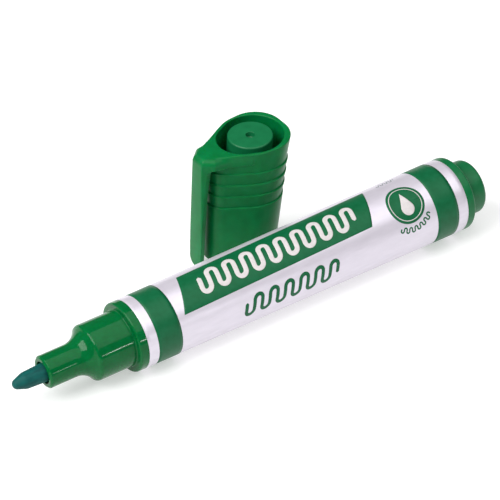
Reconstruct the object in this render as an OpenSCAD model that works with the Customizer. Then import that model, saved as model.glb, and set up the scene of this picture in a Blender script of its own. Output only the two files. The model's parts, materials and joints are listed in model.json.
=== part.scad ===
// Whiteboard marker with its cap off. The pen lies on its side along X, nib towards -X, and the
// cap stands behind it on its clip's tip and the edge of its mouth.
// Pen stations are measured along the pen's axis from the rim's front face, where the cap stops.

/* [Pen body] */
// Diameter at the label's front edge
front_d = 17.0; // [16.4:0.1:18.5]
// Taper of the barrel on each side, in degrees: the open tail end is the wider one
taper = 0.544; // [0.3:0.01:0.7]
// Width of the rim in front of the label
rim_w = 2.2; // [1.6:0.1:3]
// Length of the printed label
label_len = 91; // [70:1:95]
// Length of the bare barrel end behind the label
lip_len = 2.4; // [1.6:0.1:4]
// Thickness of the label film
label_t = 0.12; // [0.1:0.01:0.2]
// Wall of the barrel, label included
barrel_wall = 1.3; // [1.1:0.1:1.4]

/* [Nose] */
// Diameter of the collar that the cap seats on
collar_d = 13.6; // [13:0.1:13.7]
// Length of the collar
collar_len = 8.7; // [7:0.1:10]
// Diameter of the front tube
tube_d = 7.84; // [7.4:0.02:7.88]
// Reach of the front tube in front of the rim
tube_reach = 20.7; // [19:0.1:21.5]
// Radius of the concave flare between tube and collar
flare_r = 5; // [4:0.1:5]
// Diameter of the nib where it leaves the tube
nib_d = 4.4; // [3.8:0.1:4.6]
// Reach of the nib's tip in front of the rim
nib_reach = 28.4; // [27:0.1:28.6]
// Radius of the nib's round tip
tip_r = 1.26; // [1:0.02:1.4]

/* [Tail] */
// Diameter of the tail stub that holds the cap while the pen is in use
stub_d = 13.7; // [13:0.1:13.75]
// Length of the tail stub
stub_len = 5.6; // [4:0.1:7]
// Rounding of the stub's end
stub_round = 1.2; // [0.6:0.1:1.6]

/* [Reservoir] */
// Diameter of the ink reservoir with its film
reservoir_d = 11.8; // [11:0.1:11.8]
// Length of the ink reservoir
reservoir_len = 85; // [70:1:88]
// Thickness of the film round the reservoir
film_t = 0.15; // [0.1:0.01:0.2]

/* [Cap] */
// Length of the cap along its axis, from mouth to boss
cap_len = 32; // [31.6:0.1:34]
// Outer diameter at the mouth
mouth_d = 15.5; // [15.3:0.1:16.4]
// Diameter of the bore that slides over the collar
bore_d = 13.8; // [13.76:0.02:13.9]
// Diameter of the round boss in the open top
boss_d = 10.9; // [10:0.1:11.2]
// Angle that the flat top makes with the cap's axis, lower towards the clip
top_slant = 4.2; // [0:0.1:5]
// Depth of each step of the ribbed grip
rib_step = 0.35; // [0.2:0.05:0.4]

/* [Clip] */
// Distance from the cap's axis to the clip's outer face
clip_reach = 15.3; // [14.8:0.1:16.5]
// Distance from the cap's axis to the clip's inner face at its tip
clip_inner = 13.4; // [13:0.1:13.6]
// Width of the clip's outer face
clip_w = 4.2; // [4:0.1:5.4]
// Length of the clip past the mouth, which makes the standing cap lean away from its clip
clip_past = 1.08; // [0.6:0.02:1.6]

/* [Place] */
// Turn of the cap about the vertical, clip towards the pen
cap_turn = 1.5; // [-8:0.5:8]
// Pen station of the cap's axis, measured at the mouth
cap_station = 48.3; // [40:0.1:60]
// Distance from the pen's axis to the cap's axis
cap_behind = 21.6; // [19:0.1:30]

/* [Hidden] */
$fn = 96;
// A cut reaches this far past the face that it opens
cut = 1;
// Pieces that are joined run into each other by this much
weld = 0.1;
front_r = front_d / 2;
collar_r = collar_d / 2;
tube_r = tube_d / 2;
nib_r = nib_d / 2;
stub_r = stub_d / 2;
mouth_r = mouth_d / 2;
bore_r = bore_d / 2;
boss_r = boss_d / 2;
reservoir_r = reservoir_d / 2;
// The flare is a concave arc that runs into the collar's rounded front edge
flare_rise = collar_r - tube_r;
flare_start = -13.8;
flare_run = -collar_len - flare_start;
flare_angle = 2 * atan(flare_rise / flare_run);
shoulder_r = flare_run / sin(flare_angle) - flare_r;
// Stations behind the rim
label_end = rim_w + label_len;
barrel_end = label_end + lip_len;
stub_end = barrel_end + stub_len;
spigot_end = 12;
plug_start = 86;
reservoir_start = 3;
reservoir_end = reservoir_start + reservoir_len;
// The nib holder's bore ends in an air chamber
holder_end = -6.5;
chamber_r = 5.4;
// The tube's mouth is rounded outside and opened out round the nib by the same amount
mouth_gap = 0.5;
mouth_depth = 1.2;
// The nib narrows slightly outside the tube, then more steeply to its round tip
nib_waist_r = 1.95;
nib_waist = 3 - nib_reach;
nib_cone = 19.4;
nib_rear_r = 1.2;
nib_rear_end = 9;
// The cap: heights are measured along its axis from the mouth
mouth_edge = 0.25;
// The bore's mouth is opened out to guide the collar in
lead_in = 0.5;
lead_in_h = 0.6;
seat_z = 10.5;
seat_r = 7.1;
flange_t = 1.8;
flange_top = seat_z + flange_t;
ledge_r = 6.6;
seal_r = 3.98;
seal_z = 14;
seal_cone_r = 6;
seal_end = 17;
nib_room_r = 4.3;
nib_room_end = 30;
gap_roof = 28.6;
rib_pitch = 3.3;
rib_first = 16.3;
rib_count = 4;
// Height of the overhang between one rib's edge and the foot of the next
rib_edge = 0.02;
// The cap is drawn this high and cut off by its slanted top
cap_over = cap_len + 2;
ring_points = 64;
// The cap's outline runs round circles [x, y, radius], which change evenly from mouth to top. It is
// an egg with its narrow end under the clip, and its wide end grows blunt towards the top.
mouth_circles = [[0, 0, mouth_r], [0, 0, mouth_r], [-6.5, 0, 4.8]];
top_circles = [[2.2, 1.2, mouth_r - 0.55], [0.3, 0, mouth_r + 0.55], [-7.5, 0, 4.7]];
// The open top's inside is round above the flange and egg-shaped at the top
well_circles = [[0, 0, ledge_r], [-1, 0, 5]];
well_top_circles = [[0.7, 0, ledge_r + 0.9], [-2.4, 0, 6.2]];
// Rounding of the clip's outer top edge and of the corner under its root
clip_top_round = 1.9;
root_round = 0.8;
tip_round = 2.3;
// Inner face of the clip at its root, below the root and where it starts to turn in to the tip
clip_root = 13;
clip_waist = 13.5;
clip_waist_z = 20.6;
clip_bend = 13.55;
clip_bend_z = 10;
clip_tip_t = 1.2;
// The clip's outer face starts to thin below this height
clip_full_z = 27.6;
// The clip's root reaches in to here, inside the cap's wall, where its underside is this much lower
clip_root_in = 5;
clip_root_drop = 1.9;
// The pen's axis rises towards the tail by the taper, so the barrel lies along one line
pen_x = -36.425;
pen_y = -10.321;
pen_z = barrel_r(0) * cos(taper);
cap_x = pen_x + cap_station;
cap_y = pen_y + cap_behind;
// The cap stands on the clip's tip and on the far edge of its mouth
foot_r = mouth_r - mouth_edge;
cap_lean = atan(clip_past / (clip_inner + foot_r));
cap_z = foot_r * sin(cap_lean);

function barrel_r(x) = front_r + (x - rim_w) * tan(taper);
function barrel_bore_r(x) = barrel_r(x) - barrel_wall;

nib();
nose_section();
barrel();
label_sleeve();
ink_reservoir();
reservoir_film();
end_plug();
cap_shell();
inner_cap();

// Places a piece drawn along the pen's axis, station 0 at the rim's front face
module on_pen() {
    translate([pen_x, pen_y, pen_z]) rotate([0, -taper, 0]) children();
}

// Places a piece drawn on the cap's axis, with the mouth at height 0
module on_cap() {
    translate([cap_x, cap_y, cap_z]) rotate([0, 0, cap_turn]) rotate([0, cap_lean, 0]) children();
}

// Turns an outline of [radius, station] points round the pen's axis
module turned() {
    rotate([0, 90, 0]) rotate_extrude() children();
}

// A band of the pen between two stations, whose radius follows the barrel's taper
module cone_band(x0, x1, r0, r1) {
    polygon([[0, x0], [r0, x0], [r1, x1], [0, x1]]);
}

// A band that fills the barrel's bore between two stations, and more by extra
module bore_band(x0, x1, extra) {
    cone_band(x0, x1, barrel_bore_r(x0) + extra, barrel_bore_r(x1) + extra);
}

module nib() {
    cone_start_r = tip_r * cos(nib_cone);
    cone_start = tip_r * (1 - sin(nib_cone)) - nib_reach;
    color([0.0, 0.22, 0.2]) on_pen() turned() {
        intersection() {
            translate([0, tip_r - nib_reach]) circle(r = tip_r);
            translate([0, -nib_reach]) square([tip_r, 2 * tip_r]);
        }
        cone_band(cone_start, nib_waist, cone_start_r, nib_waist_r);
        cone_band(nib_waist, -tube_reach, nib_waist_r, nib_r);
        cone_band(-tube_reach, reservoir_start, nib_r, nib_r);
        nib_rear();
    }
}

// The pointed rear of the nib, which is pushed into the reservoir
module nib_rear() {
    cone_band(reservoir_start, nib_rear_end, nib_r, nib_rear_r);
}

module nose_section() {
    rim_r = barrel_r(0);
    rim_round = 0.5;
    groove = 0.7;
    reservoir_gap = 0.05;
    tangent_r = tube_r + flare_r * (1 - cos(flare_angle));
    tangent_x = flare_start + flare_r * sin(flare_angle);
    color([0.0, 0.5, 0.3]) on_pen() difference() {
        turned() {
            // Front tube with a rounded mouth
            cone_band(-tube_reach + mouth_gap, flare_start, tube_r, tube_r);
            translate([0, -tube_reach]) square([tube_r - mouth_gap, 2 * mouth_gap]);
            translate([tube_r - mouth_gap, -tube_reach + mouth_gap]) circle(r = mouth_gap);
            // Concave flare and the collar's round front edge
            difference() {
                polygon([[0, flare_start], [tube_r, flare_start], [tangent_r, tangent_x],
                         [collar_r - shoulder_r, -collar_len], [0, -collar_len]]);
                translate([tube_r + flare_r, flare_start]) circle(r = flare_r);
            }
            translate([collar_r - shoulder_r, -collar_len]) circle(r = shoulder_r);
            cone_band(-collar_len, 0, collar_r, collar_r);
            // Rim with a rounded front edge
            translate([rim_r - rim_round, rim_round]) circle(r = rim_round);
            cone_band(0, rim_round, rim_r - rim_round, rim_r - rim_round);
            cone_band(rim_round, rim_w, barrel_r(rim_round), front_r);
            // Spigot inside the barrel
            bore_band(rim_w, spigot_end, 0);
        }
        turned() {
            cone_band(-tube_reach - cut, holder_end + cut, nib_r, nib_r);
            cone_band(-tube_reach - cut, mouth_depth - tube_reach, nib_r + mouth_gap, nib_r + mouth_gap);
            cone_band(holder_end, rim_w, chamber_r, chamber_r);
            cone_band(rim_w, spigot_end + cut, reservoir_r + reservoir_gap, reservoir_r + reservoir_gap);
        }
        // Air grooves along the nib's bore
        for (a = [45:90:315])
            rotate([a, 0, 0]) translate([cut - tube_reach, 0, nib_r])
                cube([tube_reach + holder_end, groove, groove]);
    }
}

module barrel() {
    lip_round = 0.8;
    end_r = barrel_r(barrel_end - lip_round);
    rib_start = spigot_end + 1;
    rib_len = plug_start - 1 - rib_start;
    rib_w = 1;
    rib_h = 3;
    rib_weld = 0.2;
    color([0.0, 0.42, 0.25]) on_pen() {
        turned() difference() {
            union() {
                cone_band(rim_w, label_end, front_r - label_t, barrel_r(label_end) - label_t);
                cone_band(label_end, barrel_end - lip_round, barrel_r(label_end), end_r);
                cone_band(barrel_end - lip_round, barrel_end, end_r - lip_round, end_r - lip_round);
                translate([end_r - lip_round, barrel_end - lip_round]) circle(r = lip_round);
            }
            bore_band(rim_w - cut, barrel_end + cut, 0);
        }
        // Ribs that hold the reservoir clear of the wall
        intersection() {
            union() for (a = [0:60:300])
                rotate([a, 0, 0])
                    translate([rib_start, -rib_w / 2, reservoir_r])
                    cube([rib_len, rib_w, rib_h]);
            turned() bore_band(rim_w, barrel_end, rib_weld);
        }
    }
}

module label_sleeve() {
    color([0.86, 0.84, 0.88]) on_pen() turned() polygon([
        [front_r - label_t, rim_w], [front_r, rim_w],
        [barrel_r(label_end), label_end], [barrel_r(label_end) - label_t, label_end]]);
}

module ink_reservoir() {
    color([0.1, 0.35, 0.25]) on_pen() turned() difference() {
        cone_band(reservoir_start, reservoir_end, reservoir_r - film_t, reservoir_r - film_t);
        nib_rear();
    }
}

module reservoir_film() {
    color([0.9, 0.9, 0.92]) on_pen() turned() translate([reservoir_r - film_t, reservoir_start])
        square([film_t, reservoir_len]);
}

module end_plug() {
    plug_wall = 1.2;
    fin_t = 1;
    stub_fillet = 0.3;
    inner_r = barrel_bore_r(plug_start) - plug_wall;
    stub_hollow_r = stub_r - plug_wall;
    color([0.0, 0.36, 0.22]) on_pen() {
        turned() difference() {
            union() {
                bore_band(plug_start, barrel_end, 0);
                cone_band(barrel_end, stub_end - stub_round, stub_r, stub_r);
                // Fillet at the stub's root
                difference() {
                    translate([stub_r - weld, barrel_end - weld]) square(stub_fillet + weld);
                    translate([stub_r + stub_fillet, barrel_end + stub_fillet]) circle(r = stub_fillet);
                }
                cone_band(stub_end - stub_round, stub_end, stub_r - stub_round, stub_r - stub_round);
                translate([stub_r - stub_round, stub_end - stub_round]) circle(r = stub_round);
            }
            cone_band(plug_start - cut, barrel_end - plug_wall, inner_r, inner_r);
            cone_band(plug_start, stub_end - plug_wall, stub_hollow_r, stub_hollow_r);
        }
        // Crossed fins that press on the reservoir's end
        for (a = [0, 90])
            rotate([a, 0, 0]) translate([reservoir_end, -fin_t / 2, -stub_hollow_r - weld])
                cube([stub_end - plug_wall - reservoir_end + weld, fin_t, 2 * (stub_hollow_r + weld)]);
    }
}

// The point where a band drawn tight round some circles [x, y, r] faces the direction a. Each
// circle off the X axis stands for itself and its mirror image.
function band_point(a, circles) =
    let (
        side = sign(sin(a)),
        reach = [for (c = circles) c[0] * cos(a) + c[1] * side * sin(a) + c[2]],
        c = circles[search(max(reach), reach)[0]])
    [c[0] + c[2] * cos(a), c[1] * side + c[2] * sin(a)];

// A ring at height z round the circles
function ring(z, circles) =
    [for (i = [0.5:ring_points]) let (p = band_point(i * 360 / ring_points, circles)) [p[0], p[1], z]];

// A ring part of the way, t, from one set of circles to another
function ring_between(z, t, from, to, inset = 0) =
    ring(z, [for (i = [0:len(from) - 1]) from[i] + t * (to[i] - from[i]) - [0, 0, inset]]);

// A ring of the cap's outside, drawn in by inset
function outer_ring(z, inset) = ring_between(z, z / cap_len, mouth_circles, top_circles, inset);

// A ring of the open top's inside
function inner_ring(z) =
    ring_between(z, (z - flange_top) / (cap_len - flange_top), well_circles, well_top_circles);

// A closed solid through rings of equal numbers of points
module loft(rings) {
    count = len(rings);
    points = [for (ring = rings) each ring];
    sides = [for (k = [0:count - 2], i = [0:ring_points - 1])
        let (a = k * ring_points + i, b = k * ring_points + (i + 1) % ring_points)
        each [[a, b, b + ring_points], [a, b + ring_points, a + ring_points]]];
    polyhedron(points, concat(
        [[for (i = [0:ring_points - 1]) i]],
        [for (f = sides) [f[0], f[2], f[1]]],
        [[for (i = [ring_points - 1:-1:0]) (count - 1) * ring_points + i]]));
}

// Everything below the cap's slanted flat top
module under_top() {
    size = 60;
    translate([0, 0, cap_len]) rotate([0, -top_slant, 0])
        translate([-size / 2, -size / 2, -size]) cube([size, size, size]);
}

// Outside of the cap's body: smooth below, then steps that each overhang the one below
module cap_body() {
    last_rib = rib_first + (rib_count - 1) * rib_pitch;
    loft(concat(
        [outer_ring(0, mouth_edge), outer_ring(mouth_edge, 0)],
        [for (z = [rib_first:rib_pitch:last_rib + weld])
            each [outer_ring(z, 0), outer_ring(z + rib_edge, rib_step)]],
        [outer_ring(cap_over, 0)]));
}

// The clip and its root: its profile from the side, its outline from above and its round tip
module clip() {
    depth = 2 * clip_reach;
    height = 2 * (cap_over + clip_reach);
    intersection() {
        rotate([90, 0, 0]) linear_extrude(height = depth, center = true) clip_side();
        linear_extrude(height = height, center = true) clip_plan();
        rotate([90, 0, -90]) linear_extrude(height = depth) clip_front();
    }
}

// Profile of the clip: it is thickest at its root and thins towards the tip
module clip_side() {
    round_x = clip_top_round - clip_reach;
    round_z = cap_len - clip_reach * tan(top_slant) - clip_top_round;
    difference() {
        union() {
            polygon([
                [-clip_root_in, gap_roof - clip_root_drop], [-clip_root, gap_roof],
                [-clip_waist, clip_waist_z], [-clip_bend, clip_bend_z], [-clip_inner, -clip_past],
                [-clip_inner - clip_tip_t, -clip_past], [-clip_reach, clip_full_z],
                [-clip_reach, round_z], [round_x, round_z],
                [round_x, cap_over], [-clip_root_in, cap_over]]);
            translate([round_x, round_z]) circle(r = clip_top_round);
            translate([-clip_root - weld, gap_roof - root_round]) square(root_round + weld);
        }
        translate([root_round - clip_root, gap_roof - root_round]) circle(r = root_round);
    }
}

// Outline of the clip seen from the front: a round tip, then it widens towards its root
module clip_front() {
    tip_z = tip_round - clip_past;
    root_half = clip_w / 2 + 1.2;
    flare = 5;
    translate([0, tip_z]) circle(r = tip_round);
    for (side = [0, 1]) mirror([side, 0])
        polygon([
            [0, tip_z], [tip_round, tip_z], [clip_w / 2 + 0.7, gap_roof - 1.6],
            [root_half, gap_roof - 0.4], [root_half + flare, gap_roof + 0.5],
            [root_half + flare, cap_over], [0, cap_over]]);
}

// Outline of the clip and its root seen along the cap's axis: its sides run out of the cap's flanks
// in a hollow curve, and its outer edges are chamfered
module clip_plan() {
    half = clip_w / 2;
    for (side = [0, 1]) mirror([0, side])
        polygon([
            [-clip_root_in, 0], [-clip_root_in, 6.6], [-7.6, 5.4], [-9.3, 4.75], [-12, 4.2],
            [-clip_root, 3.9], [-14.2, 3.1],
            [0.4 - clip_reach, half + 0.1], [-clip_reach, half - 0.3], [-clip_reach, 0]]);
}

module cap_shell() {
    color([0.0, 0.45, 0.25]) on_cap() difference() {
        intersection() {
            union() {
                cap_body();
                clip();
            }
            under_top();
        }
        translate([0, 0, -cut]) cylinder(r = bore_r, h = seat_z + 2 * cut);
        cylinder(r1 = bore_r + lead_in, r2 = bore_r, h = lead_in_h);
        translate([0, 0, seat_z]) cylinder(r = seat_r, h = flange_t);
        loft([inner_ring(flange_top - weld), inner_ring(cap_over + cut)]);
    }
}

// The inner cap: a boss that fills the open top, over a flange that seats in the shell
module inner_cap() {
    dimple_r = 1.25;
    dimple_above = 0.2;
    vent_w = 4;
    vent_t = 0.9;
    wide = 40;
    color([0.0, 0.42, 0.25]) on_cap() difference() {
        intersection() {
            union() {
                cylinder(r = boss_r, h = cap_over);
                translate([0, 0, seat_z]) cylinder(r = seat_r, h = flange_t);
            }
            under_top();
            translate([-wide / 2, -wide / 2, seat_z]) cube([wide, wide, wide]);
        }
        // Cone that guides the front tube into its seal, and the room for the nib above it
        translate([0, 0, seat_z]) cylinder(r1 = seal_cone_r, r2 = seal_r, h = seal_z - seat_z);
        translate([0, 0, seat_z]) cylinder(r = seal_r, h = seal_end - seat_z);
        translate([0, 0, seal_end]) cylinder(r = nib_room_r, h = nib_room_end - seal_end);
        translate([0, 0, cap_len + dimple_above]) sphere(r = dimple_r);
        // Vents through the flange, so that air can pass through the cap
        for (a = [45:90:315])
            rotate([0, 0, a]) translate([boss_r + weld, -vent_w / 2, seat_z - cut])
                cube([vent_t, vent_w, flange_t + 2 * cut]);
    }
}
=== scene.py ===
"""Looks of the whiteboard marker and its cap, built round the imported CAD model.

Pieces of the pen are drawn in the pen's own frame: x is the station along its axis, 0 at the rim's
front face where the cap stops, nib towards -x, and z is up. Pieces of the cap are drawn in the
cap's own frame: z is its axis, 0 at the mouth, and the clip is towards -x. Lengths are millimetres
there, and a frame's matrix takes them to the row's metres.
"""

import json
import math

import bpy
import numpy as np
from mathutils import Matrix, Vector


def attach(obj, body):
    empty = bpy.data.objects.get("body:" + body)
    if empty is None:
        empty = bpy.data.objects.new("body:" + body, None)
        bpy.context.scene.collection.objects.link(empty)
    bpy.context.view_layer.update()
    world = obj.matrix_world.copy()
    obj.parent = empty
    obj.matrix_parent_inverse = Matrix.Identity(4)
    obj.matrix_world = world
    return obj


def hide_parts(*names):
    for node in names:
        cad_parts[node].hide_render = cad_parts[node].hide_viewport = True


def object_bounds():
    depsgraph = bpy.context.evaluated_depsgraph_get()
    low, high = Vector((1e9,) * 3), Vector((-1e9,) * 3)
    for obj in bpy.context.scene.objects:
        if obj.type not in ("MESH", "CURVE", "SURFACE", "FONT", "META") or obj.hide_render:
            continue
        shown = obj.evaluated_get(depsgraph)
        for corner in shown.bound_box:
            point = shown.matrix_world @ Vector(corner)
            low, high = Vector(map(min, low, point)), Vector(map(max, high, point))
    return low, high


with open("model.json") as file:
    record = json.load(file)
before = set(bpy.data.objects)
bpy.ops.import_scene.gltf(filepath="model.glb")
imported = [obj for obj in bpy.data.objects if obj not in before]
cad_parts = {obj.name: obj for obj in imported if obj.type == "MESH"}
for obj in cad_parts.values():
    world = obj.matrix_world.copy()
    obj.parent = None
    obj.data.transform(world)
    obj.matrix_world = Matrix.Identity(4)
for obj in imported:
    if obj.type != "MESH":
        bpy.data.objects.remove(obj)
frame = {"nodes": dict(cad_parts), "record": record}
cad_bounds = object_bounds()
# Metres in a millimetre
MM = 0.001
# Faces round every turned piece
SEGMENTS = 192

# ---------------------------------------------------------------- frames of the pen and the cap
mounts = {m["name"]: m for m in frame["record"]["mounts"]}
# Station of the nose collar mount's middle, and height of the cap bore mount's middle
COLLAR_STATION = -4.05
BORE_HEIGHT = 5.55


def axes_matrix(x_axis, z_axis, point, offset):
    """Matrix from millimetres along those axes to the row frame; offset is what point reads there."""
    z_axis = Vector(z_axis).normalized()
    y_axis = z_axis.cross(Vector(x_axis)).normalized()
    x_axis = y_axis.cross(z_axis)
    turn = Matrix((x_axis, y_axis, z_axis)).transposed().to_4x4()
    place = Matrix.Translation(Vector(point)) @ turn
    return place @ Matrix.Scale(MM, 4) @ Matrix.Translation(-Vector(offset))


pen_axis = Vector(mounts["tail_stub"]["axis"])
PEN = axes_matrix(
    pen_axis, pen_axis.cross(Vector((0, 1, 0))), mounts["nose_collar"]["pos_m"], (COLLAR_STATION, 0, 0)
)
cap_axis = -Vector(mounts["cap_bore"]["axis"])
cap_point = Vector(mounts["cap_bore"]["pos_m"])
clip_side = Vector(mounts["clip"]["pos_m"]) - cap_point
CAP = axes_matrix(-clip_side, cap_axis, cap_point, (0, 0, BORE_HEIGHT))

# ---------------------------------------------------------------- sizes, in millimetres
# The pen: radii, and stations along its axis
RIM_W = 2.2
FRONT_R = 8.5
TAPER = 0.0095
LABEL_T = 0.12
LABEL_END = 93.2
BARREL_END = 95.6
WALL = 1.3
COLLAR_R = 6.8
COLLAR_FRONT = -8.7
FLARE_R = 5.0
FLARE_START = -13.8
TUBE_R = 3.92
TUBE_MOUTH = -20.7
# The nose's mouth round the nib, the nib's bore, and the hollow spigot inside the barrel
MOUTH_FACE = (2.7, 3.45)
MOUTH_FLOOR = -19.5
HOLDER_END = -6.5
CHAMBER_R = 5.4
SPIGOT_R = 7.2
SPIGOT_BORE_R = 5.95
SPIGOT_END = 12
# The nib: its round tip, its cone's slope, its waist outside the tube, and its thin rear end
NIB_TIP = -28.4
NIB_R = 2.2
NIB_TIP_R = 1.26
NIB_CONE = math.radians(19.4)
NIB_WAIST = (NIB_TIP + 3.0, 1.95)
NIB_REAR_START = 3
NIB_REAR_END = 9
NIB_REAR_R = 1.2
# The end plug: its stub, set in from the barrel's end, with a gate mark, and its hollow inside
STUB_END = 101.2
STUB_R = 6.85
RECESS = 0.55
GATE_R = 0.8
GATE_DEPTH = 0.25
PLUG_START = 86
PLUG_R = 7.98
PLUG_BORE_R = 6.78
STUB_BORE_R = 5.65
STUB_BORE_START = 94.4
STUB_BORE_END = 100.0

# The cap: radii, and heights above its mouth
CAP_LEN = 32.0
MOUTH_R = 7.75
BORE_R = 6.9
LEAD_IN = 0.5
LEAD_IN_HEIGHT = 0.6
SEAT_Z = 10.5
SEAT_R = 7.1
FLANGE_TOP = 12.3
LEDGE_R = 6.6
TOP_ANGLE = math.radians(4.2)
TOP_SLOPE = math.tan(TOP_ANGLE)
# The inner cap: its boss, its dimple, the vents in its flange, its seal and the room round the nib
BOSS_R = 5.45
DIMPLE_R = 1.1
DIMPLE_DEPTH = 1.3
VENT_R = 6.0
VENT_HALF_ANGLE = math.radians(19)
SEAL_R = 3.98
SEAL = (14, 17)
NIB_ROOM_R = 4.3
NIB_ROOM_TOP = 30


def barrel_r(x):
    """Outer radius of the label or the bare barrel at a station."""
    return FRONT_R + TAPER * (x - RIM_W)


# ---------------------------------------------------------------- mesh helpers
def add_object(name, mesh, matrix, material, body, slot, *nodes):
    """Puts a mesh in the shared frame as a piece on that body, in place of those CAD nodes."""
    mesh.transform(matrix)
    mesh.materials.append(material)
    mesh.polygons.foreach_set("use_smooth", [True] * len(mesh.polygons))
    obj = bpy.data.objects.new(name, mesh)
    bpy.context.scene.collection.objects.link(obj)
    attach(obj, body)
    if nodes:
        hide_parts(*nodes)
    return obj


def mesh_of(name, points, faces):
    """A mesh whose faces look out of a closed shape, or away from the axis of an open one."""
    mesh = bpy.data.meshes.new(name)
    mesh.from_pydata([tuple(p) for p in points], [], [tuple(f) for f in faces])
    mesh.update()
    if sum(face.normal.dot(face.center) * face.area for face in mesh.polygons) < 0:
        mesh.flip_normals()
    return mesh


def rounded(corners, steps=7, hold=0.08):
    """Points of a profile whose corners (x, r, fillet) are rounded.

    Each round gets a point a little before and after it, which keeps the flats beside it flat.
    """
    out = []
    count = len(corners)
    for i, (x, r, fillet) in enumerate(corners):
        here = Vector((x, r))
        if fillet == 0 or i in (0, count - 1):
            out.append(here)
            continue
        before = Vector(corners[i - 1][:2]) - here
        after = Vector(corners[i + 1][:2]) - here
        half = before.angle(after) / 2
        reach = min(fillet / math.tan(half), before.length * 0.48, after.length * 0.48)
        radius = reach * math.tan(half)
        centre = here + (before.normalized() + after.normalized()).normalized() * (radius / math.sin(half))
        start = here + before.normalized() * reach
        end = here + after.normalized() * reach
        out.append(start + before.normalized() * min(hold, before.length * 0.02 + 0.01))
        a0 = math.atan2(start.y - centre.y, start.x - centre.x)
        turn = math.atan2(end.y - centre.y, end.x - centre.x) - a0
        turn = (turn + math.pi) % (2 * math.pi) - math.pi
        for k in range(steps + 1):
            a = a0 + turn * k / steps
            out.append(centre + radius * Vector((math.cos(a), math.sin(a))))
        out.append(end + after.normalized() * min(hold, after.length * 0.02 + 0.01))
    return [tuple(p) for p in out]


def lathe(name, profile, place, closed=True, segments=SEGMENTS):
    """Turns profile points (along, radius) into a mesh; place(along, radius, angle) gives 3-D points.

    Points on the axis become a single vertex. A closed profile joins its last point to its first.
    """
    points, rows = [], []
    for along, radius in profile:
        if radius < 1e-6:
            rows.append([len(points)] * segments)
            points.append(place(along, 0.0, 0.0))
        else:
            rows.append(list(range(len(points), len(points) + segments)))
            points.extend(place(along, radius, 2 * math.pi * k / segments) for k in range(segments))
    faces = []
    count = len(rows)
    for i in range(count if closed else count - 1):
        low, high = rows[i], rows[(i + 1) % count]
        if low[0] == low[1] and high[0] == high[1]:
            continue
        for k in range(segments):
            n = (k + 1) % segments
            face = [low[k], low[n], high[n], high[k]]
            if low[0] == low[1]:
                face = [low[k], high[n], high[k]]
            elif high[0] == high[1]:
                face = [low[k], low[n], high[k]]
            faces.append(face)
    return mesh_of(name, points, faces)


def round_pen(along, radius, angle):
    """Point round the pen's axis; angle 0 is its top, and angles grow towards its front side."""
    return (along, -radius * math.sin(angle), radius * math.cos(angle))


def round_cap(along, radius, angle):
    """Point round the cap's axis; angle 0 is the side away from the clip."""
    return (radius * math.cos(angle), radius * math.sin(angle), along)


# ---------------------------------------------------------------- materials
def node(tree, kind, **values):
    """Adds a node of that kind, and sets its attributes and input sockets by name."""
    made = tree.nodes.new(kind)
    for key, value in values.items():
        if hasattr(made, key):
            setattr(made, key, value)
        else:
            made.inputs[key].default_value = value
    return made


def noise(tree, coords, scale, detail=3.0, rough=0.5, squeeze=(1, 1, 1)):
    """A noise texture in the frame's millimetres, squeezed along its axes."""
    mapping = node(tree, "ShaderNodeMapping")
    mapping.inputs["Scale"].default_value = tuple(s / MM for s in squeeze)
    made = node(tree, "ShaderNodeTexNoise", Scale=scale, Detail=detail, Roughness=rough)
    tree.links.new(coords, mapping.inputs["Vector"])
    tree.links.new(mapping.outputs["Vector"], made.inputs["Vector"])
    return made.outputs["Fac"]


def ramp(tree, value, low, high, colours):
    """The first colour up to low, the second from high on, and a blend where value is between."""
    made = node(tree, "ShaderNodeValToRGB")
    made.color_ramp.elements[0].position = low
    made.color_ramp.elements[1].position = high
    for element, colour in zip(made.color_ramp.elements, colours):
        element.color = (*colour, 1)
    tree.links.new(value, made.inputs["Fac"])
    return made.outputs["Color"]


def between(tree, value, low, high):
    """Stretches a value that runs from 0 to 1, so that it runs from low to high."""
    made = node(tree, "ShaderNodeMapRange")
    made.inputs["To Min"].default_value = low
    made.inputs["To Max"].default_value = high
    tree.links.new(value, made.inputs["Value"])
    return made.outputs["Result"]


def finish_material(
    name, colours, rough, grain=1.5, bump=0.02, bump_scale=6.0, squeeze=(1, 1, 1), metallic=0.0, **fixed
):
    """A material whose colour, roughness and bump all come from noise in the frame's millimetres.

    colours and rough are each a (low, high) pair, grain is the noise's scale per millimetre, and
    fixed sets the shader's own sockets, with underscores for spaces.
    """
    material = bpy.data.materials.new(name)
    material.use_nodes = True
    tree = material.node_tree
    shader = tree.nodes["Principled BSDF"]
    coords = node(tree, "ShaderNodeTexCoord").outputs["Object"]
    cloud = noise(tree, coords, grain, squeeze=squeeze)
    tree.links.new(ramp(tree, cloud, 0.3, 0.7, colours), shader.inputs["Base Color"])
    wear = noise(tree, coords, grain * 2.7, detail=5.0, squeeze=squeeze)
    tree.links.new(between(tree, wear, *rough), shader.inputs["Roughness"])
    fine = noise(tree, coords, bump_scale, detail=4.0, rough=0.6, squeeze=squeeze)
    relief = node(tree, "ShaderNodeBump", Strength=1.0, Distance=bump * MM)
    tree.links.new(fine, relief.inputs["Height"])
    tree.links.new(relief.outputs["Normal"], shader.inputs["Normal"])
    shader.inputs["Metallic"].default_value = metallic
    for key, value in fixed.items():
        shader.inputs[key.replace("_", " ")].default_value = value
    return material


def srgb(r, g, b):
    """Linear colour of an 8-bit sRGB one."""
    shares = (c / 255 for c in (r, g, b))
    return tuple(c / 12.92 if c <= 0.04045 else ((c + 0.055) / 1.055) ** 2.4 for c in shares)


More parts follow.
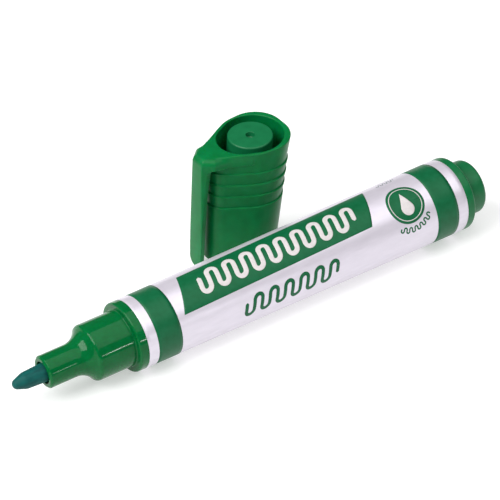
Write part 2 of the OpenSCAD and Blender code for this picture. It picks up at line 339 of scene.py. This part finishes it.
NOSE_GREEN = finish_material(
    "nose_green",
    (srgb(0, 90, 42), srgb(2, 98, 48)),
    (0.08, 0.13),
    grain=0.5,
    bump=0.004,
    bump_scale=1.2,
    Specular_IOR_Level=0.16,
    Subsurface_Weight=0.25,
    Subsurface_Radius=(0.2, 1.0, 0.2),
    Subsurface_Scale=0.0012,
)
BARREL_GREEN = finish_material(
    "barrel_green",
    (srgb(4, 94, 50), srgb(10, 104, 58)),
    (0.28, 0.42),
    grain=0.6,
    bump=0.015,
    bump_scale=3.0,
    Specular_IOR_Level=0.25,
)
PLUG_GREEN = finish_material(
    "plug_green",
    (srgb(6, 92, 50), srgb(12, 102, 58)),
    (0.32, 0.46),
    grain=0.6,
    bump=0.02,
    bump_scale=3.0,
    Specular_IOR_Level=0.3,
)
LABEL_SILVER = finish_material(
    "label_silver",
    (srgb(212, 206, 217), srgb(219, 213, 224)),
    (0.30, 0.38),
    grain=0.8,
    bump=0.003,
    bump_scale=8.0,
    squeeze=(0.25, 1, 1),
    metallic=0.35,
)
PRINT_GREEN = finish_material(
    "print_green",
    (srgb(6, 87, 50), srgb(12, 95, 58)),
    (0.34, 0.42),
    grain=0.7,
    bump=0.003,
    bump_scale=8.0,
    Specular_IOR_Level=0.2,
)
PRINT_SILVER = finish_material(
    "print_silver",
    (srgb(196, 190, 190), srgb(208, 202, 202)),
    (0.34, 0.42),
    grain=0.9,
    bump=0.003,
    bump_scale=8.0,
    Specular_IOR_Level=0.3,
)
PRINT_GREY = finish_material(
    "print_grey",
    (srgb(112, 118, 124), srgb(130, 136, 140)),
    (0.4, 0.5),
    grain=0.9,
    bump=0.003,
    bump_scale=8.0,
)
CAP_GREEN = finish_material(
    "cap_green",
    (srgb(0, 101, 49), srgb(0, 110, 56)),
    (0.3, 0.38),
    grain=0.35,
    bump=0.0015,
    bump_scale=2.0,
    Specular_IOR_Level=0.16,
    Subsurface_Weight=0.3,
    Subsurface_Radius=(0.35, 1.0, 0.15),
    Subsurface_Scale=0.0018,
)
INNER_GREEN = finish_material(
    "inner_cap_green",
    (srgb(6, 98, 56), srgb(12, 106, 62)),
    (0.34, 0.46),
    grain=0.5,
    bump=0.008,
    bump_scale=2.5,
    Specular_IOR_Level=0.3,
)
NIB_FELT = finish_material(
    "nib_felt",
    (srgb(0, 66, 64), srgb(2, 86, 80)),
    (0.5, 0.7),
    grain=1.2,
    bump=0.03,
    bump_scale=7.0,
    squeeze=(0.35, 1, 1),
    Specular_IOR_Level=0.2,
)
INK_FIBRE = finish_material(
    "ink_fibre",
    (srgb(16, 84, 66), srgb(40, 120, 96)),
    (0.8, 0.95),
    grain=1.2,
    bump=0.1,
    bump_scale=5.0,
    squeeze=(0.1, 1, 1),
)
CLEAR_FILM = finish_material(
    "clear_film",
    (srgb(214, 220, 222), srgb(226, 230, 232)),
    (0.2, 0.3),
    grain=0.6,
    bump=0.01,
    bump_scale=2.0,
)

# ---------------------------------------------------------------- the pen


def flare_arc(steps=24):
    """Concave flare from the front tube up to the collar, and the collar's round front edge."""
    rise = COLLAR_R - TUBE_R
    run = COLLAR_FRONT - FLARE_START
    sweep = 2 * math.atan(rise / run)
    shoulder = run / math.sin(sweep) - FLARE_R
    points = []
    for k in range(steps + 1):
        a = sweep * k / steps
        points.append((FLARE_START + FLARE_R * math.sin(a), TUBE_R + FLARE_R * (1 - math.cos(a))))
    for k in range(1, steps // 2 + 1):
        a = sweep * (1 - 2 * k / steps)
        points.append((COLLAR_FRONT - shoulder * math.sin(a), COLLAR_R - shoulder * (1 - math.cos(a))))
    return points


def make_nose():
    """The nose's front tube, flare, collar and rim, and the spigot that it holds the barrel by."""
    front = rounded([
        (HOLDER_END, NIB_R, 0), (MOUTH_FLOOR, NIB_R, 0.1),
        (MOUTH_FLOOR, MOUTH_FACE[0] - 0.1, 0.1), (TUBE_MOUTH, MOUTH_FACE[0], 0.12),
        (TUBE_MOUTH, MOUTH_FACE[1], 0.12), (TUBE_MOUTH + 0.4, TUBE_R, 0.25), (FLARE_START, TUBE_R, 0),
    ])
    back = rounded([
        (COLLAR_FRONT, COLLAR_R, 0), (0.0, COLLAR_R, 0.3), (0.0, barrel_r(0), 0.5),
        (RIM_W, FRONT_R, 0.06), (RIM_W, SPIGOT_R, 0), (SPIGOT_END, SPIGOT_R, 0.2),
        (SPIGOT_END, SPIGOT_BORE_R, 0), (RIM_W, SPIGOT_BORE_R, 0),
        (RIM_W, CHAMBER_R, 0), (HOLDER_END, CHAMBER_R, 0),
    ])
    mesh = lathe("nose", front[:-1] + flare_arc()[:-1] + back, round_pen)
    return add_object("nose", mesh, PEN, NOSE_GREEN, "pen", "nose", "nose_section")


def make_nib(steps=18):
    """The felt: a round tip, a cone, and a rod that runs back through the nose."""
    points = [(NIB_TIP, 0.0)]
    for k in range(1, steps + 1):
        a = (math.pi / 2 - NIB_CONE) * k / steps
        points.append((NIB_TIP + NIB_TIP_R * (1 - math.cos(a)), NIB_TIP_R * math.sin(a)))
    points += rounded([
        (NIB_TIP + NIB_TIP_R * (1 - math.sin(NIB_CONE)), NIB_TIP_R * math.cos(NIB_CONE), 0),
        (*NIB_WAIST, 2.0), (TUBE_MOUTH, NIB_R, 0.5), (NIB_REAR_START, NIB_R, 0),
        (NIB_REAR_END, NIB_REAR_R, 0), (NIB_REAR_END, 0, 0),
    ])[1:]
    mesh = lathe("nib_felt", points, round_pen, closed=False)
    return add_object("nib_felt", mesh, PEN, NIB_FELT, "pen", "nib", "nib")


def make_barrel():
    """The tube under the label, whose bare rounded end shows behind it."""
    end_r = barrel_r(BARREL_END)
    profile = rounded([
        (RIM_W, FRONT_R - WALL, 0), (RIM_W, FRONT_R - LABEL_T, 0),
        (LABEL_END, barrel_r(LABEL_END) - LABEL_T, 0), (LABEL_END, barrel_r(LABEL_END), 0.05),
        (BARREL_END, end_r - 0.02, 0.8), (BARREL_END, end_r - WALL, 0),
    ])
    mesh = lathe("barrel_tube", profile, round_pen)
    return add_object("barrel_tube", mesh, PEN, BARREL_GREEN, "pen", "barrel", "barrel")


def make_plug():
    """The end plug: its round stub stands out of the barrel's end, and it is hollow inside."""
    shoulder = BARREL_END - RECESS
    gate_floor = STUB_END - GATE_DEPTH
    outer = rounded([
        (PLUG_START, PLUG_R, 0), (shoulder, barrel_r(BARREL_END) - WALL - 0.01, 0.05),
        (shoulder, STUB_R, 0.4), (STUB_END, STUB_R, 1.2), (STUB_END, GATE_R, 0.2),
        (gate_floor, 0.5, 0.1), (gate_floor, 0, 0),
    ])
    inner = [
        (STUB_BORE_END, 0.0), (STUB_BORE_END, STUB_BORE_R), (STUB_BORE_START, STUB_BORE_R),
        (STUB_BORE_START, PLUG_BORE_R), (PLUG_START, PLUG_BORE_R),
    ]
    mesh = lathe("tail_plug", outer + inner, round_pen)
    return add_object("tail_plug", mesh, PEN, PLUG_GREEN, "pen", "plug", "end_plug")


def make_label(edge=0.03):
    """The film round the barrel, with its two ends' edges broken by edge."""
    middle = np.linspace(RIM_W + 1, LABEL_END - 1, 60)
    stations = [RIM_W, RIM_W + edge, *middle, LABEL_END - edge, LABEL_END]
    outer = [(x, barrel_r(x) - (edge if x in (RIM_W, LABEL_END) else 0)) for x in stations]
    inner = [(x, barrel_r(x) - LABEL_T) for x in (LABEL_END, RIM_W)]
    mesh = lathe("label_film", outer + inner, round_pen, segments=360)
    return add_object("label_film", mesh, PEN, LABEL_SILVER, "pen", "label", "label_sleeve")


# ---------------------------------------------------------------- print on the label
# How far each ink stands proud of the film, and how deep a patch's border is turned down into it
INK_LIFT = {"print_green": 0.010, "print_silver": 0.018, "print_grey": 0.012}
INK_BORDER = 0.02


def print_mesh(name, stations, angles, ink, wrap=False):
    """A thin printed patch. stations and angles are 2-D arrays of one shape; angle 0 is the top of
    the pen and grows towards its front side. Its border is turned down into the film."""
    rows, cols = stations.shape

    def points(lift):
        r = barrel_r(stations) + lift
        return np.stack([stations, -r * np.sin(angles), r * np.cos(angles)], -1).reshape(-1, 3)

    top, low = points(ink), points(-INK_BORDER)
    size = rows * cols
    faces = []
    last = cols if wrap else cols - 1
    for i in range(rows - 1):
        for k in range(last):
            n = (k + 1) % cols
            faces.append((i * cols + k, i * cols + n, (i + 1) * cols + n, (i + 1) * cols + k))
    border = [list(range(cols)), list(range(rows * cols - 1, (rows - 1) * cols - 1, -1))]
    if wrap:
        border = [side + side[:1] for side in border]
    else:
        border[0] += [i * cols + cols - 1 for i in range(1, rows)]
        border[1] += [i * cols for i in range(rows - 2, -1, -1)]
    for side in border:
        faces.extend((a, a + size, b + size, b) for a, b in zip(side, side[1:]))
    used = sorted({i for f in faces for i in f})
    place = {old: new for new, old in enumerate(used)}
    both = np.concatenate([top, low])
    return mesh_of(name, both[used], [[place[i] for i in f] for f in faces])


def add_print(name, material, stations, angles, wrap=False):
    """A patch printed on the label in that ink."""
    mesh = print_mesh(name, stations, angles, INK_LIFT[material.name], wrap)
    return add_object(name, mesh, PEN, material, "pen", "label")


def band(name, start, end, rows=8, cols=360):
    """A green band all round the label."""
    turn = np.linspace(0, 2 * math.pi, cols, endpoint=False)
    stations, angles = np.meshgrid(np.linspace(start, end, rows), turn, indexing="ij")
    return add_print(name, PRINT_GREEN, stations, angles, wrap=True)


def flat_shape(name, material, across, along, centre_station, centre_angle):
    """A shape drawn flat in millimetres, then wrapped on the label: along the pen, and round it."""
    stations = centre_station + along
    angles = math.radians(centre_angle) + across / barrel_r(stations)
    return add_print(name, material, stations, angles)


def stroke(name, material, path, width, centre_station, centre_angle, steps=9):
    """A line of even width with round ends along path, an array of (along, across) points."""
    path = np.asarray(path, float)
    step = np.gradient(path, axis=0)
    length = np.hypot(step[:, 0], step[:, 1])
    normal = np.stack([-step[:, 1], step[:, 0]], -1) / length[:, None]
    run = np.concatenate([[0], np.cumsum(np.hypot(*np.diff(path, axis=0).T))])
    to_end = np.minimum(run, run[-1] - run)
    half = width / 2
    rounding = np.sqrt(np.maximum(half**2 - (half - to_end) ** 2, (0.05 * half) ** 2))
    wide = np.where(to_end < half, rounding, half)
    side = np.linspace(-1, 1, steps)[:, None, None]
    grid = path[None] + side * (normal * wide[:, None])[None]
    return flat_shape(name, material, grid[..., 1], grid[..., 0], centre_station, centre_angle)


def disc(name, material, inner, outer, centre_station, centre_angle, rings=14):
    """A ring, or a disc where inner is next to nothing."""
    radius = np.linspace(inner, outer, rings)[:, None]
    turn = np.linspace(0, 2 * math.pi, 121)[None, :]
    across, along = radius * np.sin(turn), radius * np.cos(turn)
    return flat_shape(name, material, across, along, centre_station, centre_angle)


def make_panel():
    """The green panel. It runs on across the pen with slanted ends, and is printed a little askew."""
    top_angle, bottom_angle, skew = -15.0, 53.0, 0.153
    top_ends, bottom_ends = (16.5, 70.6), (12.8, 66.1)
    down, along = np.meshgrid(np.linspace(0, 1, 60), np.linspace(0, 1, 120), indexing="ij")
    left, right = (low + (high - low) * down for low, high in zip(top_ends, bottom_ends))
    stations = left + (right - left) * along
    degrees = top_angle + (bottom_angle - top_angle) * down - skew * (stations - RIM_W)
    return add_print("panel", PRINT_GREEN, stations, np.radians(degrees))


def make_prints():
    """Everything printed on the label."""
    band("band_front", start=4.78, end=11.05)
    band("band_rear", start=83.99, end=90.31)
    make_panel()
    # Plain scribbles stand in for the two lines of lettering, and a thin one for the fine print
    large = scribble(length=43.0, height=5.4, strokes=19, lean=0.22)
    stroke("panel_scribble", PRINT_SILVER, large, width=1.2, centre_station=41.6, centre_angle=14.4)
    small = scribble(length=25.6, height=4.4, strokes=13, lean=0.22)
    stroke("lower_scribble", PRINT_GREEN, small, width=0.95, centre_station=41.4, centre_angle=81.5)
    fine = scribble(length=5.0, height=1.1, strokes=9, lean=0.2)
    stroke("fine_scribble", PRINT_GREY, fine, width=0.24, centre_station=77.2, centre_angle=-24.6)
    make_badge(station=77.0, angle=31.5)


def scribble(length, height, strokes, lean):
    """Points (along, across) of up and down strokes joined by half circles, which lean forwards."""
    radius = length / (strokes - 1) / 2
    straight = height / 2 - radius
    points = []
    for k in range(strokes):
        start = k * 2 * radius - length / 2
        way = -1 if k % 2 else 1
        last = k == strokes - 1
        # A stroke stops just short of the half circle that follows it
        end = 1 if last else 0.999
        points += [(start, way * straight * u) for u in np.linspace(-end, end, 9)]
        for j in range(1, 1 if last else 12):
            a = math.pi * (1 - j / 12)
            points.append((start + radius * (1 + math.cos(a)), way * (straight + radius * math.sin(a))))
    return [(x - lean * y, y) for x, y in points]


def make_badge(station, angle):
    """A round badge with a thin ring, an ink drop in it and a small scribble under it."""
    disc("badge", PRINT_GREEN, 0.01, 5.0, station, angle)
    disc("badge_ring", PRINT_SILVER, 4.15, 4.35, station, angle, rings=3)
    make_drop(station, angle, foot=1.2, radius=1.75, tip=-3.0)
    # The scribble is bent round the badge, its middle a little towards the tail
    bend, shift = 6.6, math.radians(8)
    arc = []
    for along, across in scribble(length=9.6, height=1.25, strokes=13, lean=0.0):
        turn = shift + along / bend
        arc.append(((bend + across) * math.sin(turn), (bend + across) * math.cos(turn)))
    stroke("badge_scribble", PRINT_GREEN, arc, 0.38, station, angle)


def make_drop(station, angle, foot, radius, tip):
    """An ink drop: straight flanks from its tip, at the top, to where they touch its round foot."""
    reach = foot - tip
    touch = (reach**2 - radius**2) / reach
    spread = (1 - np.cos(np.linspace(0, math.pi, 48)[:, None])) / 2
    across = tip + (foot + radius - tip) * spread
    flank = (across - tip) * radius / math.sqrt(reach**2 - radius**2)
    round_end = np.sqrt(np.maximum(radius**2 - (across - foot) ** 2, 0))
    half = np.maximum(np.where(across < tip + touch, flank, round_end), 0.03)
    side = np.linspace(-1, 1, 13)[None, :]
    return flat_shape("badge_drop", PRINT_SILVER, across + 0 * side, side * half, station, angle)


# ---------------------------------------------------------------- the cap
# Circles (x, y, radius) that its outline runs round, at the mouth and at the top, as in the CAD
MOUTH_CIRCLES = ((0, 0, MOUTH_R), (0, 0, MOUTH_R), (-6.5, 0, 4.8))
TOP_CIRCLES = ((2.2, 1.2, MOUTH_R - 0.55), (0.3, 0, MOUTH_R + 0.55), (-7.5, 0, 4.7))
WELL_CIRCLES = ((0, 0, LEDGE_R), (-1, 0, 5))
WELL_TOP_CIRCLES = ((0.7, 0, LEDGE_R + 0.9), (-2.4, 0, 6.2))
# Directions that the outline's support is taken in
DIRECTIONS = 128
RIB_FIRST = 16.3
RIB_PITCH = 3.3
RIB_COUNT = 4
RIB_STEP = 0.35
RIB_RISE = 0.14
# The clip: its reach from the axis, its faces' heights, its half-width, and its round tip's centre
CLIP_REACH = 15.3
CLIP_TIP_REACH = 14.6
CLIP_PAST = 1.08
CLIP_FULL_Z = 27.6
CLIP_TIP_R = 2.3
CLIP_TIP_Z = CLIP_TIP_R - CLIP_PAST
GAP_ROOF = 28.6


def soft_max(a, b, radius):
    """The larger distance, with the edge between the two surfaces rounded to that radius."""
    u, v = np.maximum(a + radius, 0), np.maximum(b + radius, 0)
    return np.minimum(np.maximum(a, b), -radius) + np.hypot(u, v)


def soft_min(a, b, radius):
    """The smaller distance, with the hollow between the two surfaces rounded to that radius."""
    return -soft_max(-a, -b, radius)


def egg_distance(x, y, t, low, top):
    """Distance in plan to the band round some circles, which change evenly from low to top as t
    goes from 0 to 1. Circles off the x axis stand for themselves and their mirror image."""
    y = np.abs(y)
    found = np.full(np.broadcast(x, y, t).shape, -1e3, np.float32)
    for k in range(DIRECTIONS // 2 + 1):
        a = 2 * math.pi * k / DIRECTIONS
        ca, sa = math.cos(a), math.sin(a)
        reach = None
        for c, d in zip(low, top):
            start = c[0] * ca + c[1] * sa + c[2]
            support = start + t * (d[0] * ca + d[1] * sa + d[2] - start)
            reach = support if reach is None else np.maximum(reach, support)
        np.maximum(found, x * ca + y * sa - reach, out=found)
    return found


def rib_inset(z):
    """How far the grip's surface is drawn in: a step at each rib, which runs out up to the next."""
    out = 0
    for k in range(RIB_COUNT):
        u = z - RIB_FIRST - k * RIB_PITCH
        step = np.clip(u / RIB_RISE, 0, 1)
        ease = step * step * (3 - 2 * step)
        length = RIB_PITCH if k < RIB_COUNT - 1 else CAP_LEN + 2 - RIB_FIRST - k * RIB_PITCH
        out = out + ease * RIB_STEP * np.clip(1 - u / length, 0, 1)
    return out


def root_floor(x):
    """Height of the underside of the clip's root, which rises towards the clip."""
    return np.interp(x, (-13, -9.3, -5, 0), (GAP_ROOF, 27.6, 26.7, 26.2))


def clip_distance(x, y, z):
    """The clip: the hollow behind it, its slim outer face, its round tip and its flared root."""
    y = np.abs(y)
    inner = x - np.interp(z, (-CLIP_PAST, 10, 20.6, GAP_ROOF), (-13.4, -13.55, -13.5, -13.0))
    inner = soft_min(inner, root_floor(x) - z, 0.8)
    # The outer face is slightly crowned
    outer = np.interp(z, (-CLIP_PAST, CLIP_FULL_Z), (-CLIP_TIP_REACH, -CLIP_REACH)) - x + 0.02 * y * y
    # Seen from outside, it widens slowly up to the root, where it spreads, and has a round tip
    half = np.interp(z, (CLIP_TIP_Z, 27, 28.2, 29.1), (CLIP_TIP_R, 2.8, 3.3, 8.0))
    tip = np.hypot(y, np.minimum(z - CLIP_TIP_Z, 0)) - CLIP_TIP_R
    front = np.where(z > CLIP_TIP_Z, y - half, tip)
    front = np.where(z > 27, front * 0.6, front)
    # Seen along the axis, the root's sides run out of the cap's flanks in a hollow curve
    plan = y - 3.3 - 2.95 * np.exp(0.174 * (x + 5))
    chamfer = 0.745 * (y - 3.9) - 0.667 * (x + 13)
    found = soft_max(np.maximum(plan, front), chamfer, 0.12)
    found = soft_max(found, inner, 0.22)
    return soft_max(soft_max(found, outer, 0.15), x + 4, 0.3)


def cap_distance(x, y, z):
    """Signed distance to the cap shell's surface, in the cap's own frame."""
    above = math.cos(TOP_ANGLE) * (z - CAP_LEN) - math.sin(TOP_ANGLE) * x
    t = np.maximum(z, 0) / CAP_LEN
    body = egg_distance(x, y, t, MOUTH_CIRCLES, TOP_CIRCLES) + rib_inset(z)
    body = soft_max(body, -z, 0.25)
    clip = soft_max(clip_distance(x, y, z), above, 1.9)
    shell = soft_max(soft_min(body, clip, 0.7), above, 0.3)
    r = np.hypot(x, y)
    lead_in = LEAD_IN * np.clip(1 - z / LEAD_IN_HEIGHT, 0, 1)
    bore = np.maximum(r - BORE_R - lead_in, z - SEAT_Z - 0.5)
    seat = np.maximum(r - SEAT_R, np.maximum(SEAT_Z - z, z - FLANGE_TOP))
    t = np.clip((z - FLANGE_TOP) / (CAP_LEN - FLANGE_TOP), 0, 1.2)
    well = np.maximum(egg_distance(x, y, t, WELL_CIRCLES, WELL_TOP_CIRCLES), FLANGE_TOP - 0.2 - z)
    cavity = np.minimum(np.minimum(bore, seat), well)
    return soft_max(shell, -cavity, 0.22)


def surface_net(values, axes):
    """Vertices and quads of the zero surface on a grid whose axes may be unevenly spaced."""
    shape = tuple(n - 1 for n in values.shape)
    total = np.zeros((*shape, 3))
    count = np.zeros(shape)
    quads = []
    inside = values < 0
    for axis in range(3):
        keep = [slice(None)] * 3
        keep[axis] = slice(0, -1)
        ahead = [slice(None)] * 3
        ahead[axis] = slice(1, None)
        start = np.argwhere(inside[tuple(keep)] != inside[tuple(ahead)])
        end = start.copy()
        end[:, axis] += 1
        v0, v1 = values[tuple(start.T)], values[tuple(end.T)]
        where = np.stack([axes[i][start[:, i]] for i in range(3)], -1)
        where[:, axis] += v0 / (v0 - v1) * (axes[axis][end[:, axis]] - axes[axis][start[:, axis]])
        u, v = (axis + 1) % 3, (axis + 2) % 3
        around = []
        for du, dv in ((0, 0), (1, 0), (1, 1), (0, 1)):
            cell = start.copy()
            cell[:, u] -= du
            cell[:, v] -= dv
            np.add.at(total, tuple(cell.T), where)
            np.add.at(count, tuple(cell.T), 1)
            around.append(np.ravel_multi_index(cell.T, shape))
        quad = np.stack(around, -1)
        quads.append(np.where((v0 < 0)[:, None], quad, quad[:, ::-1]))
    used = np.flatnonzero(count.ravel())
    number = np.full(count.size, -1)
    number[used] = np.arange(len(used))
    points = total.reshape(-1, 3)[used] / count.ravel()[used, None]
    return points, number[np.concatenate(quads)]


def slopes(distance, points, step=0.02):
    """Gradient of a distance function at some points."""
    out = np.empty_like(points)
    for axis in range(3):
        side = np.zeros(3)
        side[axis] = step
        out[:, axis] = (distance(*(points + side).T) - distance(*(points - side).T)) / (2 * step)
    return out


def graded(low, high, coarse, fine, *zones):
    """Grid places from low to high, coarse apart, but fine apart inside the zones."""
    places = [low]
    while places[-1] < high:
        here = places[-1]
        near = any(a <= here <= b for a, b in zones)
        places.append(here + (fine if near else coarse))
    return np.array(places)


def make_cap_shell():
    """The cap with its clip, on a grid that is finer at the mouth, the ribs, the top and the clip."""
    coarse = 0.29
    fine = 0.105
    edges = [RIB_FIRST + k * RIB_PITCH for k in range(RIB_COUNT)]
    zones = [(e - 0.15, e + 0.3) for e in edges] + [(-1.4, 0.3), (GAP_ROOF - 0.8, 33)]
    axes = (
        graded(-15.9, 9.9, coarse * 0.85, 0.18, (-15.9, -12.9)),
        graded(-9.2, 9.2, coarse * 0.85, 0.2),
        graded(-1.5, 33.3, coarse, fine, *zones),
    )
    grid = np.meshgrid(*(a.astype(np.float32) for a in axes), indexing="ij", sparse=True)
    points, quads = surface_net(cap_distance(*grid), axes)
    # Three steps down the slope bring the points onto the surface itself
    for _ in range(3):
        slope = slopes(cap_distance, points)
        size = np.maximum((slope**2).sum(-1, keepdims=True), 0.2)
        move = cap_distance(*points.T)[:, None] * slope / size
        points = points - np.clip(move, -0.12, 0.12)
    mesh = mesh_of("cap_shell_moulding", points, quads)
    normals = slopes(cap_distance, points)
    normals /= np.linalg.norm(normals, axis=1, keepdims=True)
    normals = normals @ np.array(CAP.to_3x3().normalized()).T
    obj = add_object("cap_shell_moulding", mesh, CAP, CAP_GREEN, "cap", "cap", "cap_shell")
    mesh.normals_split_custom_set_from_vertices(normals)
    return obj


def make_inner_cap():
    """The boss in the cap's open top, with its flange, its seal and the room for the nib."""
    dimple_floor = CAP_LEN - DIMPLE_DEPTH
    dimple = rounded([
        (dimple_floor, 0, 0), (dimple_floor, 0.85, 0.35), (CAP_LEN, DIMPLE_R, 0.12), (CAP_LEN, 1.6, 0),
    ])
    outer = rounded([
        (CAP_LEN, 1.7, 0), (CAP_LEN, BOSS_R, 0.4), (FLANGE_TOP, BOSS_R, 0.3),
        (FLANGE_TOP, SEAT_R, 0.1), (SEAT_Z, SEAT_R, 0.1), (SEAT_Z, 6, 0.2),
        (SEAL[0], SEAL_R, 0.3), (SEAL[1], SEAL_R, 0.2), (SEAL[1], NIB_ROOM_R, 0),
        (NIB_ROOM_TOP, NIB_ROOM_R, 0.3), (NIB_ROOM_TOP, 0, 0),
    ])

    def place(along, radius, angle):
        """Draws the flange in at its four vents, and slants what is near the top with the cap's top."""
        off_vent = abs(angle % (math.pi / 2) - math.pi / 4)
        if along < FLANGE_TOP + 0.2 and radius > VENT_R - 0.15 and off_vent < VENT_HALF_ANGLE:
            radius = VENT_R
        x, y, z = round_cap(along, radius, angle)
        return (x, y, z + x * TOP_SLOPE if along > NIB_ROOM_TOP + 0.5 else z)

    mesh = lathe("inner_cap_boss", dimple + outer, place, closed=False)
    return add_object("inner_cap_boss", mesh, CAP, INNER_GREEN, "cap", "inner_cap", "inner_cap")


make_nose()
make_nib()
make_barrel()
make_plug()
make_label()
make_prints()
make_cap_shell()
make_inner_cap()
for node_name, material in (("ink_reservoir", INK_FIBRE), ("reservoir_film", CLEAR_FILM)):
    frame["nodes"][node_name].data.materials.clear()
    frame["nodes"][node_name].data.materials.append(material)

# ---------------------------------------------------------------- floor, light and camera
lo, hi = cad_bounds
centre = (lo + hi) / 2


def make_floor(size=3.0):
    """A pale floor, lit a little from within, so that it stays near white round the object."""
    corners = [(-size, -size, 0), (size, -size, 0), (size, size, 0), (-size, size, 0)]
    mesh = mesh_of("floor", corners, [(0, 1, 2, 3)])
    obj = bpy.data.objects.new("floor", mesh)
    bpy.context.scene.collection.objects.link(obj)
    # Just under the object, so that the two don't share a plane
    obj.location.z = lo.z - 0.02 * MM
    material = bpy.data.materials.new("floor_white")
    material.use_nodes = True
    shader = material.node_tree.nodes["Principled BSDF"]
    shader.inputs["Base Color"].default_value = (0.6, 0.6, 0.6, 1)
    shader.inputs["Emission Color"].default_value = (1, 1, 1, 1)
    shader.inputs["Emission Strength"].default_value = 0.5
    shader.inputs["Roughness"].default_value = 0.9
    shader.inputs["Specular IOR Level"].default_value = 0.0
    mesh.materials.append(material)


def softbox(name, azimuth, elevation, distance, size, power):
    """An area light that looks at the object from that direction (azimuth 0 is in front, -Y)."""
    a, e = math.radians(azimuth), math.radians(elevation)
    away = Vector((math.sin(a) * math.cos(e), -math.cos(a) * math.cos(e), math.sin(e)))
    light = bpy.data.lights.new(name, "AREA")
    light.shape = "RECTANGLE"
    light.size, light.size_y = size
    light.energy = power
    obj = bpy.data.objects.new(name, light)
    bpy.context.scene.collection.objects.link(obj)
    obj.location = centre + away * distance
    obj.rotation_mode = "QUATERNION"
    obj.rotation_quaternion = away.to_track_quat("Z", "Y")


def make_world():
    """A faint even light from all round."""
    world = bpy.data.worlds.new("studio")
    bpy.context.scene.world = world
    world.use_nodes = True
    background = world.node_tree.nodes["Background"]
    background.inputs["Color"].default_value = (1, 1, 1, 1)
    background.inputs["Strength"].default_value = 0.12


def make_camera():
    """The photograph's view: a long lens, from the nib's side and above."""
    azimuth, elevation, roll = -34.7895, 38.7244, 0.5755
    distance, lens = 0.52535, 158.736
    # The point on the pen's level that the camera looks at, from the rim's front face
    aim = PEN @ Vector((42.21, 0, 0)) + Vector((0, 10.08, 0.0)) * MM
    aim.z = 8.5 * MM
    a, e = math.radians(azimuth), math.radians(elevation)
    back = Vector((math.sin(a) * math.cos(e), -math.cos(a) * math.cos(e), math.sin(e)))
    data = bpy.data.cameras.new("camera")
    data.lens = lens
    data.sensor_width = 36
    data.clip_start, data.clip_end = 0.01, 20
    camera = bpy.data.objects.new("camera", data)
    bpy.context.scene.collection.objects.link(camera)
    camera.location = aim + back * distance
    camera.rotation_mode = "QUATERNION"
    turn = (-back).to_track_quat("-Z", "Y")
    camera.rotation_quaternion = turn @ Matrix.Rotation(math.radians(roll), 3, "Z").to_quaternion()
    bpy.context.scene.camera = camera
    bpy.context.scene.view_settings.view_transform = "Standard"


make_floor()
make_world()
softbox("key", azimuth=-98, elevation=48, distance=1.1, size=(0.9, 0.6), power=14.5)
softbox("top", azimuth=24, elevation=72, distance=1.1, size=(1.4, 1.4), power=10.5)
# Small lamps, low and to the right, that glint along the nose
softbox("glint_line", azimuth=18.2, elevation=11, distance=0.9, size=(0.05, 0.006), power=0.035)
for k in range(3):
    softbox(f"glint_{k}", 17.4 + 1.1 * k, elevation=11, distance=0.9, size=(0.005, 0.005), power=0.1)
make_camera()
